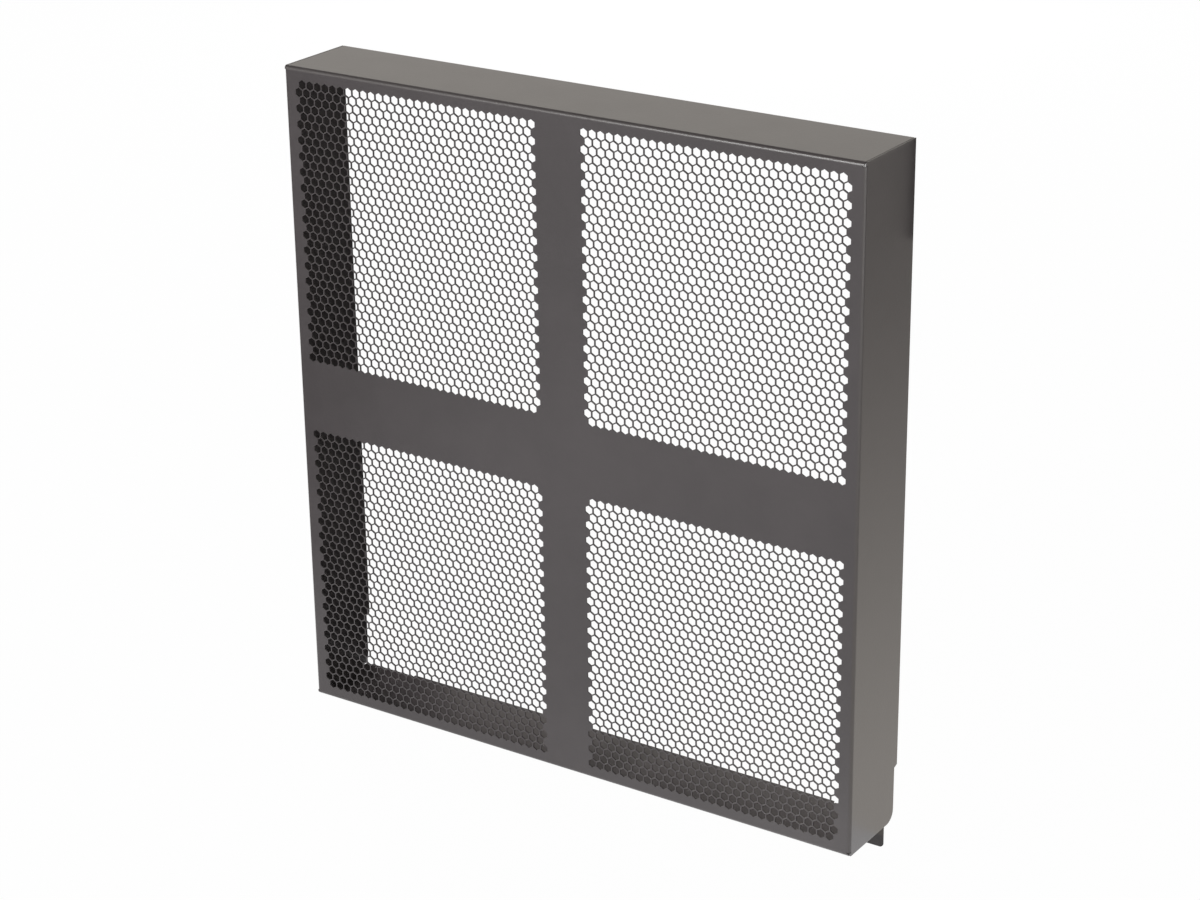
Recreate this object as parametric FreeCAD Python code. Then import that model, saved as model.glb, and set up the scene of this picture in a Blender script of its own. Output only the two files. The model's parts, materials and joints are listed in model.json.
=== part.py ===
import FreeCAD, Part
import math
import os

from FreeCAD import Vector

# A shallow rack cover folded from one sheet of steel: a front face with four fields of honeycomb holes,
# four walls folded back from it, and two tabs folded down from the rear edge of the bottom wall.
# All sizes are in millimetres. X runs to the right seen from the front, Y from front to rear and Z up.
# The origin is the centre of the open rear, so the front face lies at the negative end of Y.

# Cover, measured over its outer faces
cover_width = 482.6
cover_height = 512.0
cover_depth = 69.0

# Sheet and its folds
sheet_thickness = 1.0
inner_bend_radius = 1.8
corner_seam = 0.4

# Plain margins and bands of the front face
side_margin = 9.8
end_margin = 8.9
upright_band_width = 37.5
cross_band_height = 55.5

# Honeycomb holes
hole_across_flats = 21.7
web_width = 2.8

# Rear edge of a side wall near its foot, where the wall is a little shallower
rear_step_depth = 4.0
rear_step_height = 44.0
rear_step_slant = 1.5
rear_corner_radius = 9.0

# Tabs at the rear of the bottom wall
tab_width = 40.0
tab_drop = 25.0
tab_end_margin = 5.5
tab_corner_radius = 3.0
fold_relief_width = 1.5

# Values that follow from the sizes above
outer_bend_radius = inner_bend_radius + sheet_thickness
half_width = cover_width / 2
half_height = cover_height / 2
front = -cover_depth
fold_line = front + outer_bend_radius
face_half_width = half_width - outer_bend_radius
face_half_height = half_height - outer_bend_radius
end_wall_half_width = half_width - sheet_thickness - corner_seam
hole_pitch = hole_across_flats + web_width
row_pitch = hole_pitch * math.sin(math.radians(60))
hole_radius = hole_across_flats / (2 * math.cos(math.radians(30)))
tab_outer = end_wall_half_width - tab_end_margin
tab_inner = tab_outer - tab_width
step_level = rear_step_height - half_height
foot_rear = -rear_step_depth
tab_fold_line = foot_rear - outer_bend_radius

RIGHT = Vector(1, 0, 0)
REAR = Vector(0, 1, 0)
UP = Vector(0, 0, 1)
SIDES = (-1, 1)


def rounded_outline(corners):
    """A closed wire through (point, radius) corners; a corner with a radius becomes a tangent arc."""
    stretches = []
    for index, (point, radius) in enumerate(corners):
        before = (corners[index - 1][0] - point).normalize()
        after = (corners[(index + 1) % len(corners)][0] - point).normalize()
        half_angle = before.getAngle(after) / 2
        reach = radius / math.tan(half_angle)
        towards_centre = (before + after).normalize()
        crown = point + towards_centre * (radius / math.sin(half_angle) - radius)
        stretches.append((point + before * reach, crown, point + after * reach, radius))
    edges = []
    for index, (start, crown, end, radius) in enumerate(stretches):
        if radius > 0:
            edges.append(Part.Arc(start, crown, end).toShape())
        following = stretches[(index + 1) % len(stretches)][0]
        edges.append(Part.makeLine(end, following))
    return Part.Wire(edges)


def plate(outline, thickness):
    """A flat plate: an outline pushed along the vector of its thickness."""
    return Part.Face(outline).extrude(thickness)


def quarter_fold(axis_start, run, towards_a, towards_b):
    """A fold of the sheet through a right angle, about an axis that starts at a point and follows a run."""
    between = (towards_a + towards_b).normalize()
    outer = [axis_start + way * outer_bend_radius for way in (towards_a, between, towards_b)]
    inner = [axis_start + way * inner_bend_radius for way in (towards_b, between, towards_a)]
    edges = [
        Part.Arc(*outer).toShape(),
        Part.makeLine(outer[-1], inner[0]),
        Part.Arc(*inner).toShape(),
        Part.makeLine(inner[-1], outer[0]),
    ]
    return Part.Face(Part.Wire(edges)).extrude(run)


def copies_that_fit(space, size, pitch):
    """How many copies of a size fit in a space at a pitch."""
    return max(1, math.floor((space - size) / pitch) + 1)


def hexagon(centre_x, centre_z):
    """The outline of one hole in the front face, with a corner at its top and at its foot."""
    corners = []
    for step in range(6):
        angle = math.radians(30 + 60 * step)
        out = RIGHT * math.cos(angle) + UP * math.sin(angle)
        corners.append(Vector(centre_x, front, centre_z) + out * hole_radius)
    return Part.makePolygon(corners + corners[:1])


def field_holes(side, level):
    """The holes of one of the four fields. Its outermost row lies nearer the middle of the cover."""
    inner_x = upright_band_width / 2
    outer_x = half_width - side_margin
    inner_z = cross_band_height / 2
    outer_z = half_height - end_margin
    row_shift = hole_pitch / 4
    columns = copies_that_fit(outer_x - inner_x, hole_across_flats + 2 * row_shift, hole_pitch)
    rows = copies_that_fit(outer_z - inner_z, 2 * hole_radius, row_pitch)
    holes = []
    for row in range(rows):
        z = (inner_z + outer_z) / 2 + ((rows - 1) / 2 - row) * row_pitch
        shift = row_shift if row % 2 else -row_shift
        for column in range(columns):
            x = (inner_x + outer_x) / 2 + (column - (columns - 1) / 2) * hole_pitch + shift
            holes.append(hexagon(side * x, level * z))
    return holes


def front_face():
    """The flat of the front face, between the four folds, with its four fields of holes."""
    corners = [
        Vector(-face_half_width, front, -face_half_height),
        Vector(face_half_width, front, -face_half_height),
        Vector(face_half_width, front, face_half_height),
        Vector(-face_half_width, front, face_half_height),
    ]
    wires = [Part.makePolygon(corners + corners[:1])]
    for side in SIDES:
        for level in SIDES:
            wires += field_holes(side, level)
    return Part.makeFace(wires, "Part::FaceMakerBullseye").extrude(REAR * sheet_thickness)


def side_wall(side):
    """A side wall with its fold. Its front corners cover the ends of the top and bottom folds."""
    outer_x = side * half_width
    inward = RIGHT * (-side * sheet_thickness)
    corners = [
        (Vector(outer_x, front, -half_height), outer_bend_radius),
        (Vector(outer_x, foot_rear, -half_height), rear_corner_radius),
        (Vector(outer_x, foot_rear, step_level - rear_step_slant), 0),
        (Vector(outer_x, 0, step_level), 0),
        (Vector(outer_x, 0, half_height), 0),
        (Vector(outer_x, front, half_height), outer_bend_radius),
    ]
    fold_room = [
        (Vector(outer_x, front - outer_bend_radius, -face_half_height), 0),
        (Vector(outer_x, fold_line, -face_half_height), 0),
        (Vector(outer_x, fold_line, face_half_height), 0),
        (Vector(outer_x, front - outer_bend_radius, face_half_height), 0),
    ]
    wall = plate(rounded_outline(corners), inward).cut(plate(rounded_outline(fold_room), inward))
    fold_half_height = face_half_height - corner_seam
    axis_start = Vector(side * face_half_width, fold_line, -fold_half_height)
    fold = quarter_fold(axis_start, UP * (2 * fold_half_height), -REAR, RIGHT * side)
    return [wall, fold]


def end_fold(level):
    """The fold between the front face and the top wall (level 1) or the bottom wall (level -1)."""
    axis_start = Vector(-end_wall_half_width, fold_line, level * face_half_height)
    return quarter_fold(axis_start, RIGHT * (2 * end_wall_half_width), -REAR, UP * level)


def top_wall():
    """The top wall, which lies between the side walls."""
    corners = [
        (Vector(-end_wall_half_width, fold_line, half_height), 0),
        (Vector(end_wall_half_width, fold_line, half_height), 0),
        (Vector(end_wall_half_width, 0, half_height), 0),
        (Vector(-end_wall_half_width, 0, half_height), 0),
    ]
    return plate(rounded_outline(corners), UP * -sheet_thickness)


def bottom_wall():
    """The bottom wall. Its rear edge is set back at each tab, with a relief beside the tab's fold."""
    relief_x = tab_inner - fold_relief_width
    outline = [
        (-end_wall_half_width, fold_line),
        (end_wall_half_width, fold_line),
        (end_wall_half_width, tab_fold_line),
        (relief_x, tab_fold_line),
        (relief_x, foot_rear),
        (-relief_x, foot_rear),
        (-relief_x, tab_fold_line),
        (-end_wall_half_width, tab_fold_line),
    ]
    corners = [(Vector(x, y, -half_height), 0) for x, y in outline]
    return plate(rounded_outline(corners), UP * sheet_thickness)


def tab(side):
    """A tab that hangs below the bottom wall, with its fold."""
    ends = sorted((side * tab_inner, side * tab_outer))
    fold_height = -half_height + sheet_thickness - outer_bend_radius
    foot = -half_height - tab_drop
    corners = [
        (Vector(ends[0], foot_rear, fold_height), 0),
        (Vector(ends[0], foot_rear, foot), tab_corner_radius),
        (Vector(ends[1], foot_rear, foot), tab_corner_radius),
        (Vector(ends[1], foot_rear, fold_height), 0),
    ]
    hanging = plate(rounded_outline(corners), REAR * -sheet_thickness)
    fold = quarter_fold(Vector(ends[0], tab_fold_line, fold_height), RIGHT * tab_width, UP, REAR)
    return [hanging, fold]


def folded_cover():
    """All stretches of the sheet as one solid."""
    stretches = [top_wall(), bottom_wall()]
    for side in SIDES:
        stretches += side_wall(side)
        stretches += tab(side)
        stretches.append(end_fold(side))
    return front_face().fuse(stretches).removeSplitter()


os.makedirs("parts", exist_ok=True)
folded_cover().exportStep("parts/folded_cover.step")
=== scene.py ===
import json
import math

import bmesh
import bpy
from mathutils import Matrix, Vector


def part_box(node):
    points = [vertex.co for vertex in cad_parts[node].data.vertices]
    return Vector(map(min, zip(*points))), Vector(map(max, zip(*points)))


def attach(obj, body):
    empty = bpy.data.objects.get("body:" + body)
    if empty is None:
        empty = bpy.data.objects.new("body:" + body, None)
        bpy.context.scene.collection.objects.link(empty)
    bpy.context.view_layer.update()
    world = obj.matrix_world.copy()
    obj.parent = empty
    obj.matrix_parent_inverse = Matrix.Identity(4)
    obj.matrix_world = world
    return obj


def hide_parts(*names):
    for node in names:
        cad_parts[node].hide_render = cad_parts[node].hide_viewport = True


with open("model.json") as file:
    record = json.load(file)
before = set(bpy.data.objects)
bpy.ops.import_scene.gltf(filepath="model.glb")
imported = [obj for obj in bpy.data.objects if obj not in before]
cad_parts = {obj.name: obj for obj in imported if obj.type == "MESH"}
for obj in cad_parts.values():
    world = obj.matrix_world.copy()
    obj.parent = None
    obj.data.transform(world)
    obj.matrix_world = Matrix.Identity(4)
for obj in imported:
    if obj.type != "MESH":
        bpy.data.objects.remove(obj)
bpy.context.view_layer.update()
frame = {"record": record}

# The look of a folded steel rack cover: one perforated sheet with its folds, walls and tabs, in a dark
# grey powder coat. Lengths are in metres. X runs to the right seen from the front, Y from front to rear
# and Z up.

# Places that the frame gives
lowest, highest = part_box("folded_cover")
mount_places = {mount["name"]: mount["pos_m"] for mount in frame["record"]["mounts"]}
tab_middle, foot_rear, _ = mount_places["tab_right"]
half_width = highest.x
half_height = highest.z
front = lowest.y
rear = highest.y
tab_foot = lowest.z

# Sheet and its folds
sheet_thickness = 0.001
inner_bend_radius = 0.0018
corner_seam = 0.0004
corner_setback = 0.0008
raw_edge_round = 0.0002

# Honeycomb fields of the front face
side_margin = 0.0098
end_margin = 0.0089
upright_band_width = 0.0375
cross_band_height = 0.0555
hole_across_flats = 0.0061
web_width = 0.0009

# Shallower foot of the side walls, and the tabs
rear_step_height = 0.044
rear_step_slant = 0.0015
rear_corner_radius = 0.009
tab_width = 0.040
tab_corner_radius = 0.003
fold_relief_width = 0.0015

# How finely round stretches are divided, and what counts as one point, a crease or a raw edge
fold_steps = 10
corner_steps = 6
raw_edge_steps = 2
round_profile = 0.5
weld_reach = 0.00002
crease_angle = math.radians(30)
raw_edge_angle = math.radians(60)

# Powder coat: its colours and how noise varies them, its lighter folds and cut edges (a painted highlight,
# and a thinner coat there), its gloss and its orange peel
coat_dark = (0.0700, 0.0606, 0.0626, 1)
coat_light = (0.0876, 0.0760, 0.0785, 1)
coat_edge_and_highlight = (0.115, 0.105, 0.102, 1)
cloud_share = 0.5
smudge_share = 0.3
grain_share = 0.2
dark_below = 0.3
light_above = 0.7
edge_highlight_share = 0.5
edge_highlight_fade_start = 0.0004
edge_highlight_fade_end = 0.0035
edge_highlight_wobble = 0.002
least_roughness = 0.25
cloud_roughness = 0.05
smudge_roughness = 0.06
peel_strength = 0.45
peel_depth = 0.00012
grain_in_peel = 0.3

# Studio: its whites, its floor, its even light and the lift of the cards that lie on the floor
WARM_WHITE = (0.98, 0.935, 0.855, 1)
PLAIN_WHITE = (1, 1, 1, 1)
floor_paint = (0.6, 0.6, 0.6, 1)
floor_plain_share = 0.985
floor_reach = 8.0
ambient_light = 0.06
card_lift = 0.01
upper_card_lift = 0.013

# Directions, turns and the sockets of a Mix node that mixes colours
RIGHT = Vector((1, 0, 0))
REAR = Vector((0, 1, 0))
UP = Vector((0, 0, 1))
SIDES = (-1, 1)
QUARTER_TURN = math.radians(90)
SIXTH_TURN = math.radians(60)
HEXAGON_CORNERS = 6
NOISE_MIDDLE = 0.5
MIX_FACTOR = 0
MIX_FIRST = 6
MIX_SECOND = 7
MIX_RESULT = 2

# Values that follow from the sizes above
outer_bend_radius = inner_bend_radius + sheet_thickness
fold_line = front + outer_bend_radius
corner_front = front + corner_setback
face_half_width = half_width - outer_bend_radius
face_half_height = half_height - outer_bend_radius
end_wall_half_width = half_width - sheet_thickness - corner_seam
side_fold_half_height = face_half_height - corner_seam
tab_fold_line = foot_rear - outer_bend_radius
tab_fold_height = -half_height - inner_bend_radius
step_level = rear_step_height - half_height
tab_inner = tab_middle - tab_width / 2
tab_outer = tab_middle + tab_width / 2
hole_pitch = hole_across_flats + web_width
row_pitch = hole_pitch * math.sin(SIXTH_TURN)
hole_radius = hole_across_flats / (2 * math.cos(SIXTH_TURN / 2))
cell_radius = hole_pitch / (2 * math.cos(SIXTH_TURN / 2))


class Wire:
    """An output socket of a node tree. Arithmetic on it adds Math nodes to that tree."""

    def __init__(self, bench, socket):
        self.bench = bench
        self.socket = socket

    def output(self, name):
        """Another output of the same node."""
        return Wire(self.bench, self.socket.node.outputs[name])

    def maths(self, operation, *values):
        """A Math node on some values."""
        return self.bench.node("ShaderNodeMath", {"operation": operation}, dict(enumerate(values)))

    def __add__(self, other):
        return self.maths("ADD", self, other)

    def __radd__(self, other):
        return self.maths("ADD", other, self)

    def __sub__(self, other):
        return self.maths("SUBTRACT", self, other)

    def __rsub__(self, other):
        return self.maths("SUBTRACT", other, self)

    def __mul__(self, other):
        return self.maths("MULTIPLY", self, other)

    def __rmul__(self, other):
        return self.maths("MULTIPLY", other, self)

    def __truediv__(self, other):
        return self.maths("DIVIDE", self, other)

    def __rtruediv__(self, other):
        return self.maths("DIVIDE", other, self)

    def __mod__(self, other):
        return self.maths("MODULO", self, other)

    def __rmod__(self, other):
        return self.maths("MODULO", other, self)

    def __abs__(self):
        return self.maths("ABSOLUTE", self)

    def rounded(self):
        return self.maths("ROUND", self)

    def lesser(self, other):
        return self.maths("MINIMUM", self, other)

    def greater(self, other):
        return self.maths("MAXIMUM", self, other)

    def below(self, other):
        return self.maths("LESS_THAN", self, other)


class Bench:
    """A node tree under construction."""

    def __init__(self, tree):
        self.tree = tree

    def node(self, kind, settings=None, sockets=None, take=0):
        """
        Adds a node: its settings first, then the values or wires of its sockets. A list gives one socket
        several wires. What comes back is the output to take.
        """
        made = self.tree.nodes.new(kind)
        for name, value in (settings or {}).items():
            setattr(made, name, value)
        for name, value in (sockets or {}).items():
            for each in value if isinstance(value, list) else [value]:
                if isinstance(each, Wire):
                    self.tree.links.new(each.socket, made.inputs[name])
                else:
                    made.inputs[name].default_value = each
        return Wire(self, made.outputs[take]) if made.outputs else None

    def mixed_colour(self, factor, first, second):
        """A colour between two others."""
        sockets = {MIX_FACTOR: factor, MIX_FIRST: first, MIX_SECOND: second}
        return self.node("ShaderNodeMix", {"data_type": "RGBA"}, sockets, take=MIX_RESULT)

    def mixed_shader(self, *factor_and_shaders):
        """A shader between two others."""
        return self.node("ShaderNodeMixShader", sockets=dict(enumerate(factor_and_shaders)))


def new_material(name):
    """An empty material, and the bench to build its nodes on."""
    material = bpy.data.materials.new(name)
    material.use_nodes = True
    material.node_tree.nodes.clear()
    return material, Bench(material.node_tree)


def powder_coat():
    """Dark grey satin powder coat: cloudy in colour, with a fine orange peel, and lighter along folds and
    cut edges, partly as a painted highlight and partly as a thinner coat there.
    """
    material, bench = new_material("powder_coat")
    place = bench.node("ShaderNodeTexCoord", take="Object")

    def noise(scale, detail, roughness=0.5):
        sockets = {"Vector": place, "Scale": scale, "Detail": detail, "Roughness": roughness}
        return bench.node("ShaderNodeTexNoise", {"noise_dimensions": "3D"}, sockets, take="Fac")

    def fade(value, start, end):
        sockets = {"Value": value, "From Min": start, "From Max": end, "To Min": 0.0, "To Max": 1.0}
        settings = {"interpolation_type": "SMOOTHSTEP", "clamp": True}
        return bench.node("ShaderNodeMapRange", settings, sockets)

    clouds = noise(scale=7.0, detail=3.0)
    smudges = noise(scale=38.0, detail=4.0, roughness=0.6)
    peel = noise(scale=620.0, detail=1.5)
    grain = noise(scale=2600.0, detail=2.0)

    # A point lies along a fold where two of its three distances are small, so the middle one counts.
    apart = bench.node("ShaderNodeSeparateXYZ", sockets={"Vector": place})
    from_side = half_width - abs(apart.output("X"))
    from_front = apart.output("Y") - front
    from_end = half_height - abs(apart.output("Z"))
    from_fold = from_side.lesser(from_front).greater(from_side.greater(from_front).lesser(from_end))
    from_rear = rear - apart.output("Y")
    # Painted highlight: within a few millimetres of every fold and cut edge the colour is made lighter,
    # partly also for a thinner coat there.
    from_edge = from_fold.lesser(from_rear) + (smudges - NOISE_MIDDLE) * edge_highlight_wobble
    edge = 1 - fade(from_edge, edge_highlight_fade_start, edge_highlight_fade_end)

    shade = clouds * cloud_share + smudges * smudge_share + grain * grain_share
    body = bench.mixed_colour(fade(shade, dark_below, light_above), coat_dark, coat_light)
    # This mixes in the painted highlight and the thinner coat of the folds and cut edges.
    colour = bench.mixed_colour(edge * edge_highlight_share, body, coat_edge_and_highlight)
    roughness = least_roughness + clouds * cloud_roughness + smudges * smudge_roughness
    height = peel + grain * grain_in_peel
    bump = bench.node(
        "ShaderNodeBump",
        sockets={"Strength": peel_strength, "Distance": peel_depth, "Height": height},
    )
    coat = bench.node(
        "ShaderNodeBsdfPrincipled",
        sockets={"Base Color": colour, "Roughness": roughness, "Normal": bump},
    )
    bench.node("ShaderNodeOutputMaterial", sockets={"Surface": coat})
    return material


def honeycomb_tree():
    """The front face as a node tree: four mirrored fields of holes in rings of metal, and a border."""
    tree = bpy.data.node_groups.new("honeycomb_face", "GeometryNodeTree")
    inputs = {
        "Face Width": "NodeSocketFloat",
        "Face Height": "NodeSocketFloat",
        "Front": "NodeSocketFloat",
        "Field Middle X": "NodeSocketFloat",
        "Field Middle Z": "NodeSocketFloat",
        "Columns": "NodeSocketInt",
        "Rows": "NodeSocketInt",
        "Hole Pitch": "NodeSocketFloat",
        "Row Pitch": "NodeSocketFloat",
        "Hole Radius": "NodeSocketFloat",
        "Cell Radius": "NodeSocketFloat",
        "Finish": "NodeSocketMaterial",
    }
    for name, kind in inputs.items():
        tree.interface.new_socket(name=name, in_out="INPUT", socket_type=kind)
    tree.interface.new_socket(name="Face", in_out="OUTPUT", socket_type="NodeSocketGeometry")
    bench = Bench(tree)
    given = bench.node("NodeGroupInput")

    # Centres of the holes: one grid with every other row shifted, then mirrored to the other three fields
    field_width = (given.output("Columns") - 1) * given.output("Hole Pitch")
    field_height = (given.output("Rows") - 1) * given.output("Row Pitch")
    grid = bench.node(
        "GeometryNodeMeshGrid",
        sockets={
            "Size X": field_width,
            "Size Y": field_height,
            "Vertices X": given.output("Columns"),
            "Vertices Y": given.output("Rows"),
        },
    )
    place = bench.node("GeometryNodeInputPosition")
    height = bench.node("ShaderNodeSeparateXYZ", sockets={"Vector": place}, take="Y")
    row = ((field_height / 2 - height) / given.output("Row Pitch")).rounded()
    half_pitch = given.output("Hole Pitch") / 2
    stagger = row % 2 * half_pitch - half_pitch / 2
    shift = bench.node(
        "ShaderNodeCombineXYZ",
        sockets={"X": given.output("Field Middle X") + stagger, "Y": given.output("Field Middle Z")},
    )
    centres = bench.node("GeometryNodeSetPosition", sockets={"Geometry": grid, "Offset": shift})
    for mirror in ((-1, 1, 1), (1, -1, 1)):
        copy = bench.node("GeometryNodeTransform", sockets={"Geometry": centres, "Scale": mirror})
        centres = bench.node("GeometryNodeJoinGeometry", sockets={"Geometry": [centres, copy]})

    def at_each_hole(shape):
        pointed_top = (0, 0, SIXTH_TURN / 2)
        sockets = {"Points": centres, "Instance": shape, "Rotation": pointed_top}
        copies = bench.node("GeometryNodeInstanceOnPoints", sockets=sockets)
        return bench.node("GeometryNodeRealizeInstances", sockets={"Geometry": copies})

    def welded(shape):
        sockets = {"Geometry": shape, "Distance": weld_reach}
        return bench.node("GeometryNodeMergeByDistance", sockets=sockets)

    # A border fills the face round the fields, whose outlines are the cell edges that no two cells share.
    cell = bench.node(
        "GeometryNodeMeshCircle",
        {"fill_type": "NGON"},
        {"Vertices": HEXAGON_CORNERS, "Radius": given.output("Cell Radius")},
    )
    sharing = bench.node("GeometryNodeInputMeshEdgeNeighbors")
    field_outlines = bench.node(
        "GeometryNodeMeshToCurve",
        sockets={"Mesh": welded(at_each_hole(cell)), "Selection": sharing.below(2)},
    )
    face_outline = bench.node(
        "GeometryNodeCurvePrimitiveQuadrilateral",
        {"mode": "RECTANGLE"},
        {"Width": given.output("Face Width"), "Height": given.output("Face Height")},
    )
    outlines = bench.node("GeometryNodeJoinGeometry", sockets={"Geometry": [face_outline, field_outlines]})
    border = bench.node("GeometryNodeFillCurve", {"mode": "TRIANGLES"}, {"Curve": outlines})
    ring = bench.node(
        "GeometryNodeMeshCone",
        {"fill_type": "NONE"},
        {
            "Vertices": HEXAGON_CORNERS,
            "Radius Top": given.output("Hole Radius"),
            "Radius Bottom": given.output("Cell Radius"),
            "Depth": 0.0,
        },
    )
    face = bench.node("GeometryNodeJoinGeometry", sockets={"Geometry": [border, at_each_hole(ring)]})

    stand = bench.node("ShaderNodeCombineXYZ", sockets={"Y": given.output("Front")})
    face = bench.node(
        "GeometryNodeTransform",
        sockets={"Geometry": welded(face), "Translation": stand, "Rotation": (QUARTER_TURN, 0, 0)},
    )
    face = bench.node("GeometryNodeRealizeInstances", sockets={"Geometry": face})
    face = bench.node(
        "GeometryNodeSetMaterial",
        sockets={"Geometry": face, "Material": given.output("Finish")},
    )
    bench.node("NodeGroupOutput", sockets={"Face": face})
    return tree


def copies_that_fit(space, size, pitch):
    """How many copies of a size fit in a space at a pitch."""
    return math.floor((space - size) / pitch) + 1


def new_piece(name, mesh):
    """An object at the origin that shows a mesh."""
    piece = bpy.data.objects.new(name, mesh)
    bpy.context.scene.collection.objects.link(piece)
    return piece


def settled_mesh(piece):
    """The mesh that the modifiers of an object make. The object itself is taken away."""
    bpy.context.view_layer.update()
    settled = piece.evaluated_get(bpy.context.evaluated_depsgraph_get())
    mesh = bpy.data.meshes.new_from_object(settled)
    bpy.data.objects.remove(piece)
    return mesh


def front_face(coat):
    """The flat of the front face between its folds, with all its holes, as a skin without thickness."""
    inner_x = upright_band_width / 2
    outer_x = half_width - side_margin
    inner_z = cross_band_height / 2
    outer_z = half_height - end_margin
    values = {
        "Face Width": 2 * face_half_width,
        "Face Height": 2 * face_half_height,
        "Front": front,
        "Field Middle X": (inner_x + outer_x) / 2,
        "Field Middle Z": (inner_z + outer_z) / 2,
        "Columns": copies_that_fit(outer_x - inner_x, hole_across_flats + hole_pitch / 2, hole_pitch),
        "Rows": copies_that_fit(outer_z - inner_z, 2 * hole_radius, row_pitch),
        "Hole Pitch": hole_pitch,
        "Row Pitch": row_pitch,
        "Hole Radius": hole_radius,
        "Cell Radius": cell_radius,
        "Finish": coat,
    }
    piece = new_piece("front_face", bpy.data.meshes.new("front_face"))
    punch = piece.modifiers.new("honeycomb", "NODES")
    punch.node_group = honeycomb_tree()
    for item in punch.node_group.interface.items_tree:
        if item.in_out == "INPUT":
            punch[item.identifier] = values[item.name]
    return settled_mesh(piece)


def rounded_outline(corners):
    """Points of an outline through (point, radius) corners. A square one with a radius becomes an arc."""
    points = []
    for index, (point, radius) in enumerate(corners):
        if radius == 0:
            points.append(point)
            continue
        before = (corners[index - 1][0] - point).normalized()
        after = (corners[(index + 1) % len(corners)][0] - point).normalized()
        centre = point + (before + after) * radius
        for step in range(corner_steps + 1):
            angle = QUARTER_TURN * step / corner_steps
            points.append(centre - (after * math.cos(angle) + before * math.sin(angle)) * radius)
    return points


def add_flat(skin, points):
    """A flat stretch of the sheet."""
    skin.faces.new([skin.verts.new(point) for point in points])


def add_fold(skin, axis_points, towards_a, towards_b, radius):
    """A quarter fold about the line through some points, as strips of narrow faces."""
    rows = []
    for step in range(fold_steps + 1):
        angle = QUARTER_TURN * step / fold_steps
        reach = (towards_a * math.cos(angle) + towards_b * math.sin(angle)) * radius
        rows.append([skin.verts.new(point + reach) for point in axis_points])
    for near, far in zip(rows, rows[1:]):
        for start in range(len(axis_points) - 1):
            strip = skin.faces.new((near[start], near[start + 1], far[start + 1], far[start]))
            strip.smooth = True


def add_side_wall(skin, side):
    """A side wall with its fold. Its front corners cover the ends of the top and bottom folds."""
    x = side * half_width
    front_corner_radius = outer_bend_radius - corner_setback
    corners = [
        (Vector((x, fold_line, -side_fold_half_height)), 0),
        (Vector((x, fold_line, -face_half_height)), 0),
        (Vector((x, corner_front, -face_half_height)), 0),
        (Vector((x, corner_front, -half_height)), front_corner_radius),
        (Vector((x, foot_rear, -half_height)), rear_corner_radius),
        (Vector((x, foot_rear, step_level - rear_step_slant)), 0),
        (Vector((x, rear, step_level)), 0),
        (Vector((x, rear, half_height)), 0),
        (Vector((x, corner_front, half_height)), front_corner_radius),
        (Vector((x, corner_front, face_half_height)), 0),
        (Vector((x, fold_line, face_half_height)), 0),
        (Vector((x, fold_line, side_fold_half_height)), 0),
    ]
    add_flat(skin, rounded_outline(corners))
    levels = [side_fold_half_height * level for level in SIDES]
    axis_ends = [Vector((side * face_half_width, fold_line, z)) for z in levels]
    add_fold(skin, axis_ends, -REAR, RIGHT * side, outer_bend_radius)


def end_fold_points(z):
    """Points from left to right along a line of the top or bottom fold at a height."""
    across = (-end_wall_half_width, -face_half_width, face_half_width, end_wall_half_width)
    return [Vector((x, fold_line, z)) for x in across]


def add_end_fold(skin, level):
    """The fold between the front face and the top wall (level 1) or the bottom wall (level -1)."""
    add_fold(skin, end_fold_points(level * face_half_height), -REAR, UP * level, outer_bend_radius)


def add_top_wall(skin):
    """The top wall, which lies between the side walls."""
    rear_edge = [Vector((side * end_wall_half_width, rear, half_height)) for side in reversed(SIDES)]
    add_flat(skin, end_fold_points(half_height) + rear_edge)


def add_bottom_wall(skin):
    """The bottom wall. Its rear edge is set back at each tab, with a relief beside the tab's fold."""
    right = [
        (end_wall_half_width, tab_fold_line),
        (tab_outer, tab_fold_line),
        (tab_inner, tab_fold_line),
        (tab_inner - fold_relief_width, tab_fold_line),
        (tab_inner - fold_relief_width, foot_rear),
    ]
    left = [(-x, y) for x, y in reversed(right)]
    rear_edge = [Vector((x, y, -half_height)) for x, y in right + left]
    add_flat(skin, end_fold_points(-half_height) + rear_edge)


def add_tab(skin, side):
    """A tab that hangs below the bottom wall, with its fold."""
    y = foot_rear - sheet_thickness
    corners = [
        (Vector((side * tab_inner, y, tab_fold_height)), 0),
        (Vector((side * tab_inner, y, tab_foot)), tab_corner_radius),
        (Vector((side * tab_outer, y, tab_foot)), tab_corner_radius),
        (Vector((side * tab_outer, y, tab_fold_height)), 0),
    ]
    add_flat(skin, rounded_outline(corners))
    axis_ends = [Vector((side * x, tab_fold_line, tab_fold_height)) for x in (tab_inner, tab_outer)]
    add_fold(skin, axis_ends, UP, REAR, inner_bend_radius)


def cover_skin(coat):
    """The skin of the whole cover, without thickness, on its outer side."""
    skin = bmesh.new()
    skin.from_mesh(front_face(coat))
    for level in SIDES:
        fold_end = UP * (level * side_fold_half_height)
        whole_face = skin.verts[:] + skin.edges[:] + skin.faces[:]
        bmesh.ops.bisect_plane(skin, geom=whole_face, dist=weld_reach, plane_co=fold_end, plane_no=UP)
    add_top_wall(skin)
    add_bottom_wall(skin)
    for side in SIDES:
        add_side_wall(skin, side)
        add_end_fold(skin, side)
        add_tab(skin, side)
    bmesh.ops.remove_doubles(skin, verts=skin.verts, dist=weld_reach)
    bmesh.ops.recalc_face_normals(skin, faces=skin.faces)
    mesh = bpy.data.meshes.new("cover_skin")
    skin.to_mesh(mesh)
    skin.free()
    mesh.materials.append(coat)
    return mesh


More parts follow.
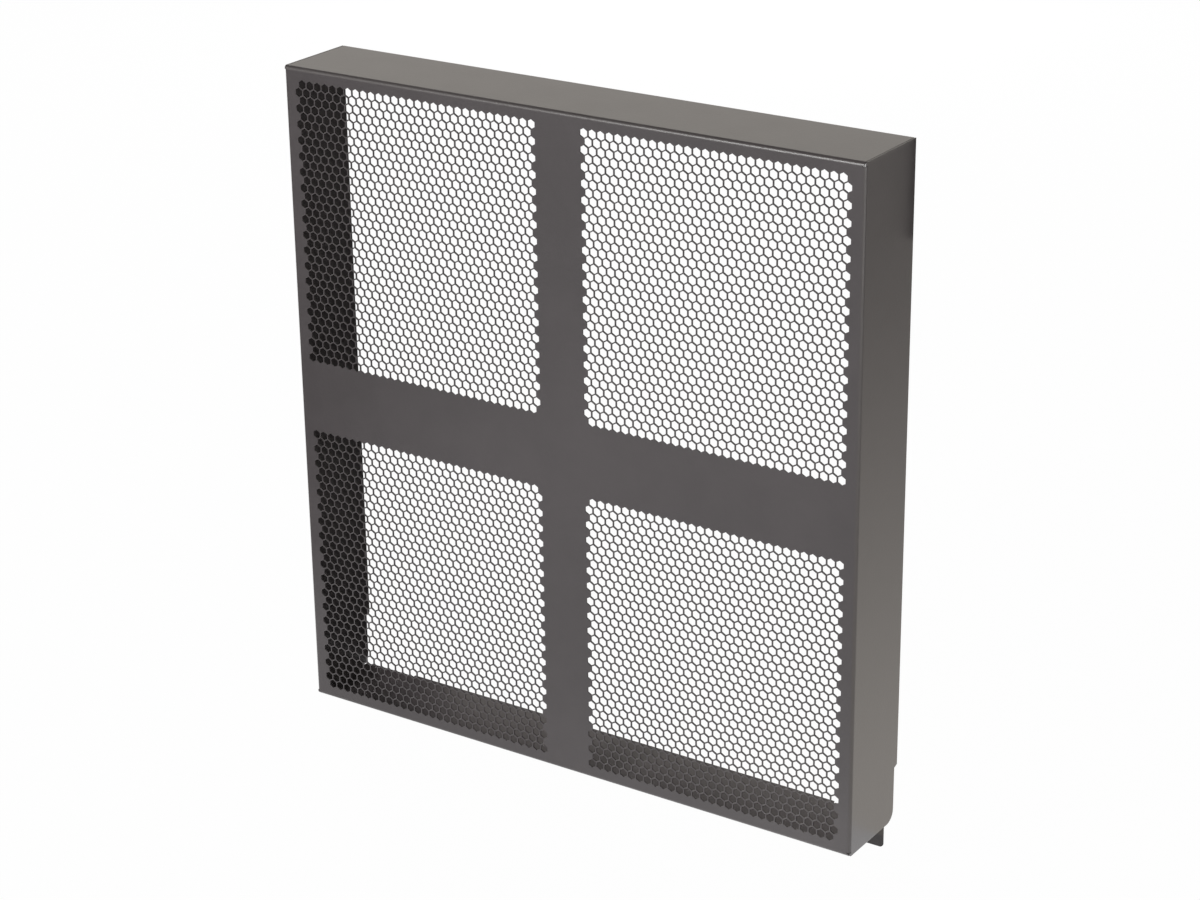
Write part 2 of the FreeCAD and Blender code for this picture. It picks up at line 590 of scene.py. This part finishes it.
def thickened(skin):
    """A skin that is given the thickness of the sheet on its inner side."""
    piece = new_piece("cover_skin", skin)
    wall = piece.modifiers.new("sheet", "SOLIDIFY")
    wall.thickness = sheet_thickness
    wall.offset = -1
    wall.use_even_offset = True
    return settled_mesh(piece)


def is_raw_edge(edge):
    """True for the sharp cut edges of the walls and tabs, but not of the front face and its folds."""
    behind_fold = all(corner.co.y > fold_line - raw_edge_round for corner in edge.verts)
    middle = (edge.verts[0].co + edge.verts[1].co) / 2
    past_side_fold = abs(middle.z) > face_half_height + weld_reach
    on_wall_corner = past_side_fold and abs(middle.x) > half_width - sheet_thickness - weld_reach
    sharp = edge.is_manifold and edge.calc_face_angle() > raw_edge_angle
    return sharp and (behind_fold or on_wall_corner)


def soften_raw_edges(mesh):
    """Rounds the raw edges of a sheet a little, and leaves only its creases sharp in shading."""
    sheet = bmesh.new()
    sheet.from_mesh(mesh)
    bmesh.ops.bevel(
        sheet,
        geom=[edge for edge in sheet.edges if is_raw_edge(edge)],
        offset=raw_edge_round,
        offset_type="OFFSET",
        segments=raw_edge_steps,
        profile=round_profile,
        affect="EDGES",
    )
    for edge in sheet.edges:
        edge.smooth = edge.calc_face_angle() < crease_angle
    sheet.to_mesh(mesh)
    sheet.free()


def cover_sheet(coat):
    """The whole cover as one folded sheet."""
    mesh = thickened(cover_skin(coat))
    soften_raw_edges(mesh)
    mesh.name = "cover_sheet"
    return new_piece("cover_sheet", mesh)


def is_shown(ray):
    """1 for rays that show a thing straight, in gloss or through glass, and 0 for all others."""
    return ray.greater(ray.output("Is Glossy Ray")).greater(ray.output("Is Transmission Ray"))


def floor_white():
    """White of the floor: lens and gloss see nearly all of it as plain white, the rest as lit paint."""
    material, bench = new_material("studio_floor")
    ray = bench.node("ShaderNodeLightPath", take="Is Camera Ray")
    lit = bench.node("ShaderNodeBsdfDiffuse", sockets={"Color": floor_paint})
    white = bench.node("ShaderNodeEmission", sockets={"Color": PLAIN_WHITE, "Strength": 1.0})
    surface = bench.mixed_shader(is_shown(ray) * floor_plain_share, lit, white)
    bench.node("ShaderNodeOutputMaterial", sockets={"Surface": surface})
    return material


def stage_card(name, corners, material):
    """A flat card that belongs to the studio and not to the cover."""
    shape = bmesh.new()
    shape.faces.new([shape.verts.new(corner) for corner in corners])
    mesh = bpy.data.meshes.new(name)
    shape.to_mesh(mesh)
    shape.free()
    mesh.materials.append(material)
    card = new_piece(name, mesh)
    return card


def leaning_corners(left, right, foot, head):
    """Corners of a card from one edge to another, each from left to right at a (y, z) place."""
    return [(left, *foot), (right, *foot), (right, *head), (left, *head)]


def level_corners(left, right, near, far, height):
    """Corners of a level card."""
    return leaning_corners(left, right, (near, height), (far, height))


def upright_corners(start, end, foot, head):
    """Corners of an upright card between two points of the floor plan."""
    return [(*start, foot), (*end, foot), (*end, head), (*start, head)]


def studio_floor():
    """A wide pale floor under the tabs."""
    corners = level_corners(-floor_reach, floor_reach, -floor_reach, floor_reach, height=tab_foot)
    stage_card("studio_floor", corners, floor_white())


def even_glow(name, brightness):
    """Light of one brightness all over a card."""
    material, bench = new_material(name)
    glow = bench.node("ShaderNodeEmission", sockets={"Color": WARM_WHITE, "Strength": brightness})
    bench.node("ShaderNodeOutputMaterial", sockets={"Surface": glow})
    return material


def graded_glow(name, tint, centre, reach, near, far):
    """Light that shades from one brightness at its centre to another at a distance from it."""
    material, bench = new_material(name)
    place = bench.node("ShaderNodeTexCoord", take="Object")
    sockets = {0: place, 1: centre}
    away = bench.node("ShaderNodeVectorMath", {"operation": "DISTANCE"}, sockets, take="Value")
    nearness = (1 - away / reach).greater(0.0)
    far_tint = tuple(channel * far / near for channel in tint)
    colour = bench.mixed_colour(nearness * nearness, far_tint, tint)
    glow = bench.node("ShaderNodeEmission", sockets={"Color": colour, "Strength": near})
    bench.node("ShaderNodeOutputMaterial", sockets={"Surface": glow})
    return material


def gloss_card(name, corners, material):
    """A card that shows only in gloss."""
    card = stage_card(name, corners, material)
    card.visible_camera = False
    card.visible_shadow = False
    card.visible_transmission = False
    card.visible_diffuse = False


def graded_cards():
    """Cards on the floor that the right wall and the front face mirror, each fading with distance."""
    low = tab_foot + card_lift
    at_wall_foot = (half_width + 0.15, 0.0, low)
    gloss_card(
        "card_at_right",
        level_corners(left=0.2, right=3.0, near=-0.5, far=2.6, height=low),
        graded_glow("card_at_right", WARM_WHITE, centre=at_wall_foot, reach=1.7, near=1.64, far=0.46),
    )
    at_front_foot = (0.2, -0.1, low)
    gloss_card(
        "card_in_front",
        level_corners(left=-0.4, right=0.3, near=-0.6, far=-0.01, height=tab_foot + upper_card_lift),
        graded_glow("card_in_front", PLAIN_WHITE, centre=at_front_foot, reach=0.5, near=1.8, far=1.0),
    )
    # The slanted side of this card follows the line of sight that the left end of the front mirrors.
    at_left_foot = (-0.27, -0.1, low)
    beside_front = [(-0.216, -0.1), (-1.87, -2.14), (-4.0, -2.14), (-4.0, -0.1)]
    gloss_card(
        "card_front_left",
        [(x, y, low) for x, y in beside_front],
        graded_glow("card_front_left", PLAIN_WHITE, centre=at_left_foot, reach=0.6, near=1.0, far=0.05),
    )


def black_cards():
    """Cards that keep the inside of the cover, its top bend and the rear edge of its right wall dark."""
    low = tab_foot + card_lift
    places = {
        "card_behind_low": level_corners(left=-0.35, right=0.2, near=0.02, far=0.6, height=low),
        "card_behind_high": leaning_corners(left=-0.35, right=0.2, foot=(0.13, -0.147), head=(0.45, 0.25)),
        "card_overhead": level_corners(left=-4.0, right=2.0, near=-1.2, far=2.6, height=2.4),
        "card_left_rear": upright_corners((-0.9, 0.2), (-0.316, 0.2), foot=low, head=0.03),
        "card_at_rear_edge": upright_corners((0.243, 0.015), (0.253, 0.015), foot=0.18, head=0.3),
    }
    black = even_glow("black_card", 0.0)
    for name, corners in places.items():
        gloss_card(name, corners, black)


def bright_cards():
    """A grey card that the inside of the bottom wall mirrors, and one that glints in the right bend."""
    low = tab_foot + card_lift
    gloss_card(
        "card_far_rear",
        upright_corners((-1.1, 0.6), (0.1, 0.6), foot=low, head=0.15),
        even_glow("grey_card", 0.7),
    )
    gloss_card(
        "card_bend_glint",
        upright_corners((0.90, -0.68), (1.06, -0.48), foot=-0.2, head=0.0),
        even_glow("bright_card", 4.0),
    )


def studio_surroundings():
    """White to the lens and in gloss, and a low even light on everything."""
    world = bpy.data.worlds.new("studio")
    world.use_nodes = True
    world.node_tree.nodes.clear()
    bench = Bench(world.node_tree)
    ray = bench.node("ShaderNodeLightPath", take="Is Camera Ray")
    light = bench.node("ShaderNodeBackground", sockets={"Color": PLAIN_WHITE, "Strength": ambient_light})
    tint = bench.mixed_colour(ray, WARM_WHITE, PLAIN_WHITE)
    white = bench.node("ShaderNodeBackground", sockets={"Color": tint, "Strength": 1.0})
    surface = bench.mixed_shader(is_shown(ray), light, white)
    bench.node("ShaderNodeOutputWorld", sockets={"Surface": surface})
    bpy.context.scene.world = world


def softbox(name, place, aim, size, power, in_gloss=True):
    """A flat soft lamp at a place, turned towards another. Its size is its width and height."""
    lamp = bpy.data.lights.new(name, "AREA")
    lamp.shape = "RECTANGLE"
    lamp.size, lamp.size_y = size
    lamp.energy = power
    holder = bpy.data.objects.new(name, lamp)
    holder.visible_camera = False
    holder.visible_glossy = in_gloss
    bpy.context.scene.collection.objects.link(holder)
    holder.location = place
    holder.rotation_euler = (Vector(aim) - Vector(place)).to_track_quat("-Z", "Y").to_euler()


def studio_lamps():
    """A key light from the rear left and three fills. The two at the rear don't show in gloss."""
    middle = (0, 0, 0)
    at_right_wall = (0.24, -0.03, 0.0)
    softbox("key_rear_left", (-3.6, 2.3, 3.6), aim=middle, size=(1.6, 1.6), power=140.0, in_gloss=False)
    softbox("front_fill", (-1.1, -2.57, 1.26), aim=middle, size=(0.45, 1.5), power=54.0)
    softbox("right_fill", (2.2, -0.35, 0.0), aim=at_right_wall, size=(0.5, 0.8), power=12.0)
    softbox("rear_fill", (-1.4, 2.4, 0.0), aim=middle, size=(0.8, 0.8), power=36.0, in_gloss=False)


def photo_camera():
    """The camera to the right of the cover and above it, turned a little about its own axis."""
    eye = Vector((1.0889, -1.6442, 0.7819))
    azimuth = math.radians(33.85)
    elevation = math.radians(22.10)
    roll = math.radians(-0.71)
    camera = bpy.data.objects.new("camera", bpy.data.cameras.new("camera"))
    camera.data.sensor_width = 36.0
    camera.data.lens = 86.17
    turn = Matrix.Rotation(azimuth, 4, "Z") @ Matrix.Rotation(QUARTER_TURN - elevation, 4, "X")
    camera.matrix_world = Matrix.Translation(eye) @ turn @ Matrix.Rotation(roll, 4, "Z")
    bpy.context.scene.collection.objects.link(camera)
    bpy.context.scene.camera = camera


cover = cover_sheet(powder_coat())
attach(cover, "root")
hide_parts("folded_cover")

studio_floor()
graded_cards()
black_cards()
bright_cards()
studio_surroundings()
studio_lamps()
photo_camera()
bpy.context.scene.view_settings.view_transform = "Standard"
